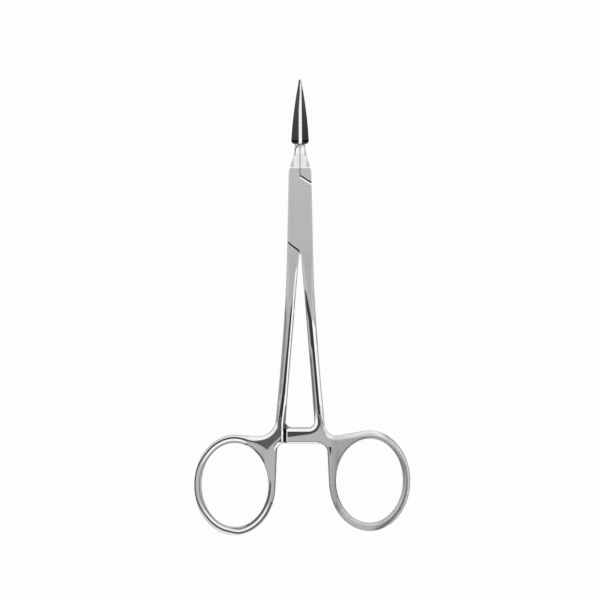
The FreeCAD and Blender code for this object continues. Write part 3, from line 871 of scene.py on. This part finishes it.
# All leans together, the later ones over the earlier
def leanOfSteel(tree, at):
    pieces = (leanOfRims, leanOfPalms, leanOfShoulders, leanOfJaws, leanOfRightShank,
              leanOfLeftShank, leanOfFrontBar, leanOfLeftFacet, leanOfLeftRing, leanOfRightRing,
              leanOfNick)
    leans = [lean for piece in pieces for lean in piece(tree, at)]
    mask, slopeAcross, slopeAlong = leans[0][0], 0.0, 0.0
    for place, leanAcross, leanAlong in leans:
        slopeAcross = blendValue(tree, place, slopeAcross, leanAcross)
        slopeAlong = blendValue(tree, place, slopeAlong, leanAlong)
        mask = anyOf(tree, mask, place)
    return mask, slopeAcross, slopeAlong


# Painted shade and painted dark reflection, and their colours, the later ones over the earlier
def shadesOfSteel(tree, at):
    return neckShades(tree, at) + [
        (paintedShadeOnRims(tree, at), rimLook["colour"]),
        (paintedShadeOnPalms(tree, at), palmLook["colour"]),
        (darkReflectionOnJaws(tree, at), jawLook["colour"]),
        (partingLine(tree, at), neckLook["lineColour"]),
        (paintedShadeOnRearBar(tree, at), rearBar["colour"]),
        (gripShade(tree, at), gripEdge["colour"]),
    ] + creviceShades(tree, at)


# Where a point of the steel lies and which way it faces, seen from the front
def placeOnSteel(tree, axes, own, side):
    across = compute(tree, "MULTIPLY", axes["X"], side)
    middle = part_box("box_half")[1].z / millimetre / 2
    height = compute(tree, "MULTIPLY", scaled(tree, axes["Z"], 1.0, -middle), side)
    facing = compute(tree, "ABSOLUTE", own["Z"])
    return SimpleNamespace(
        across=across,
        along=axes["Y"],  # from the pivot towards the tips
        height=height,  # from the middle plane towards the near face
        facing=facing,  # 1 on the flat faces, 0 on upright walls
        lengthways=own["Y"],  # 1 on walls that face the tips
        fromAxis=compute(tree, "ABSOLUTE", across),
        fromPivot=compute(tree, "ABSOLUTE", axes["Y"]),
        fromSide=compute(tree, "ABSOLUTE", own["Y"]),
        openFace=fade(tree, facing, *faceLimits["open"]),
        onRight=above(tree, across, 0, middleSoft),
        onLeft=below(tree, across, 0, middleSoft),
    )


def makeSteel(material, look):
    tree = newTree(material)
    place = addNode(tree, "ShaderNodeTexCoord").outputs["Object"]
    inMillimetres = addNode(tree, "ShaderNodeVectorMath", {
        0: place, "Scale": 1 / millimetre,
    }, operation="SCALE").outputs["Vector"]
    axes = addNode(tree, "ShaderNodeSeparateXYZ", {"Vector": inMillimetres}).outputs
    worldNormal = addNode(tree, "ShaderNodeNewGeometry").outputs["Normal"]
    ownNormal = addNode(tree, "ShaderNodeVectorTransform", {"Vector": worldNormal},
                        vector_type="NORMAL", convert_from="WORLD",
                        convert_to="OBJECT").outputs["Vector"]
    own = addNode(tree, "ShaderNodeSeparateXYZ", {"Vector": ownNormal}).outputs
    side = compute(tree, "SIGN", own["Z"])
    at = placeOnSteel(tree, axes, own, side)
    satin = band(tree, at.along, look["satinFrom"], look["satinTo"], look["edgeOfSatin"])
    satin = compute(tree, "MULTIPLY", satin, fade(tree, at.facing, look["edgeNormal"], 1.0))

    def grain(pitch, length, detail):
        stretched = addNode(tree, "ShaderNodeMapping", {
            "Vector": inMillimetres, "Scale": (1 / pitch, 1 / length, 1 / pitch),
        }).outputs["Vector"]
        return addNode(tree, "ShaderNodeTexNoise", {
            "Vector": stretched, "Scale": 1.0, "Detail": detail, "Roughness": look["grainRoughness"],
        }).outputs["Fac"]

    streaks = grain(look["streakPitch"], look["streakLength"], look["streakDetail"])
    scratches = grain(look["scratchPitch"], look["scratchLength"], look["scratchDetail"])

    roughness = blendValue(tree, satin, look["buffedRoughness"], look["satinRoughness"])
    ring = allOf(tree, above(tree, at.across, look["rightRingFrom"], look["rightRingSoft"]),
                 fade(tree, at.along, *look["rightRingFade"]))
    roughness = blendValue(tree, ring, roughness, look["rightRingRoughness"])
    roughness = compute(tree, "MULTIPLY", roughness,
                        ramp(tree, scratches, *look["grainRange"], *look["scratchRoughness"]))

    tone = ramp(tree, streaks, *look["grainRange"], *look["streakTone"])
    colour = addNode(tree, "ShaderNodeVectorMath", {
        0: look["colour"], "Scale": tone,
    }, operation="SCALE").outputs["Vector"]
    for mask, dark in shadesOfSteel(tree, at):
        colour = blendColour(tree, mask, colour, dark)

    leanMask, leanAcross, leanAlong = leanOfSteel(tree, at)
    leaned = addNode(tree, "ShaderNodeCombineXYZ", {
        "X": compute(tree, "MULTIPLY", leanAcross, side), "Y": leanAlong, "Z": side,
    }).outputs["Vector"]
    ownLean = addNode(tree, "ShaderNodeVectorMath", {0: leaned}, operation="NORMALIZE").outputs[0]
    blended = blendVector(tree, leanMask, ownNormal, ownLean)
    turned = addNode(tree, "ShaderNodeVectorTransform", {"Vector": blended},
                     vector_type="NORMAL", convert_from="OBJECT",
                     convert_to="WORLD").outputs["Vector"]
    relief = addNode(tree, "ShaderNodeBump", {
        "Strength": compute(tree, "MULTIPLY", satin, look["scratchDepth"]),
        "Distance": look["scratchHeight"] * millimetre, "Height": scratches, "Normal": turned,
    }).outputs["Normal"]

    surface = addNode(tree, "ShaderNodeBsdfPrincipled", {
        "Base Color": colour, "Metallic": 1.0, "Roughness": roughness, "Normal": relief,
    })
    addNode(tree, "ShaderNodeOutputMaterial", {"Surface": surface.outputs["BSDF"]})


for node in nodes.values():
    for material in node.data.materials:
        if not material.get("dressed"):
            makeSteel(material, steelLook)
            material["dressed"] = True
print("steel: satin lock, buffed jaws, shanks and rings")

# Studio: a white table under one soft surround

tableLook = {
    "half": 1.2,
    "below": 0.02,  # millimetres under the forceps
    "colour": (0.9, 0.9, 0.9),
    "shadowKept": 0.03,
    "mirroredShadow": 0.7,
}


def makeTable(look):
    place = (0, 0, -look["below"] * millimetre)
    bpy.ops.mesh.primitive_plane_add(size=2 * look["half"], location=place)
    table = bpy.context.object
    table.name = "table"
    material = bpy.data.materials.new("tableWhite")
    tree = newTree(material)
    ray = addNode(tree, "ShaderNodeLightPath").outputs
    mirrored = compute(tree, "MAXIMUM", ray["Is Glossy Ray"], ray["Is Transmission Ray"])
    seen = compute(tree, "MULTIPLY", ray["Is Camera Ray"], 1 - look["shadowKept"])
    mirroredShare = compute(tree, "MULTIPLY", mirrored, 1 - look["mirroredShadow"])
    share = compute(tree, "MAXIMUM", seen, mirroredShare)
    matt = addNode(tree, "ShaderNodeBsdfDiffuse", {"Color": (*look["colour"], 1)})
    white = addNode(tree, "ShaderNodeEmission", {"Color": (1, 1, 1, 1), "Strength": 1.0})
    mix = addNode(tree, "ShaderNodeMixShader", {
        0: share, 1: matt.outputs[0], 2: white.outputs[0],
    })
    addNode(tree, "ShaderNodeOutputMaterial", {"Surface": mix.outputs[0]})
    table.data.materials.append(material)


# A bright window past the tips, a flag and a low window on the right, grey elsewhere

surroundLook = {
    "leftLevels": (0.22, 0.55),
    "leftTurn": (-62, -40),  # in degrees, as all turns and spans here
    "overhead": 0.62,
    "overheadSpan": (-12, 5),
    "overheadSoft": 5,
    "near": 0.08,
    "nearSpan": (-48, -12),
    "nearSoft": 8,
    "low": 1.2,
    "lowTurn": (-46, -52),
    "rightFlag": 0.04,
    "rightFlagTurn": (4, 16),
    "rightWindow": 1.3,
    "rightWindowTurn": (66, 69),
    "farWindow": 1.3,
    "farWindowTurn": (1, 18),
    "farFlag": 0.05,
    "farFlagSpan": (34, 66),
    "farFlagSoft": 2,
    "farFlagHeight": (0.15, 0.3),  # upward part of the direction
}


def makeSurround(look):
    world = bpy.data.worlds.new("surround")
    bpy.context.scene.world = world
    tree = newTree(world)
    direction = addNode(tree, "ShaderNodeTexCoord").outputs["Generated"]
    axes = addNode(tree, "ShaderNodeSeparateXYZ", {"Vector": direction}).outputs
    across = compute(tree, "ARCTAN2", axes["X"], axes["Z"])
    lengthwise = compute(tree, "ARCSINE", axes["Y"])

    def turning(value, limits):
        return fade(tree, value, *map(math.radians, limits))

    def spanning(value, limits, soft):
        return band(tree, value, *map(math.radians, limits), math.radians(soft))

    def paint(level, mask, name):
        return blendValue(tree, mask, level, look[name])

    level = fade(tree, across, *map(math.radians, look["leftTurn"]), *look["leftLevels"])
    level = paint(level, spanning(across, look["overheadSpan"], look["overheadSoft"]), "overhead")
    level = paint(level, spanning(lengthwise, look["nearSpan"], look["nearSoft"]), "near")
    level = paint(level, turning(lengthwise, look["lowTurn"]), "low")
    level = paint(level, turning(across, look["rightFlagTurn"]), "rightFlag")
    level = paint(level, turning(across, look["rightWindowTurn"]), "rightWindow")
    level = paint(level, turning(lengthwise, look["farWindowTurn"]), "farWindow")
    farFlag = allOf(tree, spanning(lengthwise, look["farFlagSpan"], look["farFlagSoft"]),
                    fade(tree, axes["Z"], *look["farFlagHeight"]))
    level = paint(level, farFlag, "farFlag")
    surround = addNode(tree, "ShaderNodeBackground", {"Color": (1, 1, 1, 1), "Strength": level})

    ray = addNode(tree, "ShaderNodeLightPath").outputs
    plain = addNode(tree, "ShaderNodeBackground", {"Color": (1, 1, 1, 1), "Strength": 1.0})
    mix = addNode(tree, "ShaderNodeMixShader", {
        0: ray["Is Camera Ray"], 1: surround.outputs[0], 2: plain.outputs[0],
    })
    addNode(tree, "ShaderNodeOutputWorld", {"Surface": mix.outputs[0]})


makeTable(tableLook)
makeSurround(surroundLook)
print("studio: table and surround")

# Camera: straight above, the tips towards the top of the picture

view = {
    "pivotColumn": 300.05,  # where the pivot axis falls in the 600 x 600 picture
    "pivotRow": 212.7,
    "pictureSide": 600,
    "millimetresPerPixel": 0.2625,
    "lens": 150,
    "clipping": (0.01, 100),  # nearest and furthest, as shares of the distance
}


def makeCamera(look):
    data = bpy.data.cameras.new("overheadCamera")
    camera = bpy.data.objects.new("overheadCamera", data)
    bpy.context.scene.collection.objects.link(camera)
    data.lens = look["lens"]
    perPixel = look["millimetresPerPixel"] * millimetre
    side = look["pictureSide"] * perPixel
    distance = side * data.lens / data.sensor_width
    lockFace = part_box("box_half")[1].z
    camera.location = Vector((
        (look["pictureSide"] / 2 - look["pivotColumn"]) * perPixel,
        (look["pivotRow"] - look["pictureSide"] / 2) * perPixel,
        lockFace + distance,
    ))
    nearest, furthest = look["clipping"]
    data.clip_start = distance * nearest
    data.clip_end = distance * furthest
    bpy.context.scene.camera = camera


makeCamera(view)
bpy.context.scene.view_settings.view_transform = "Standard"
print("camera: overhead")
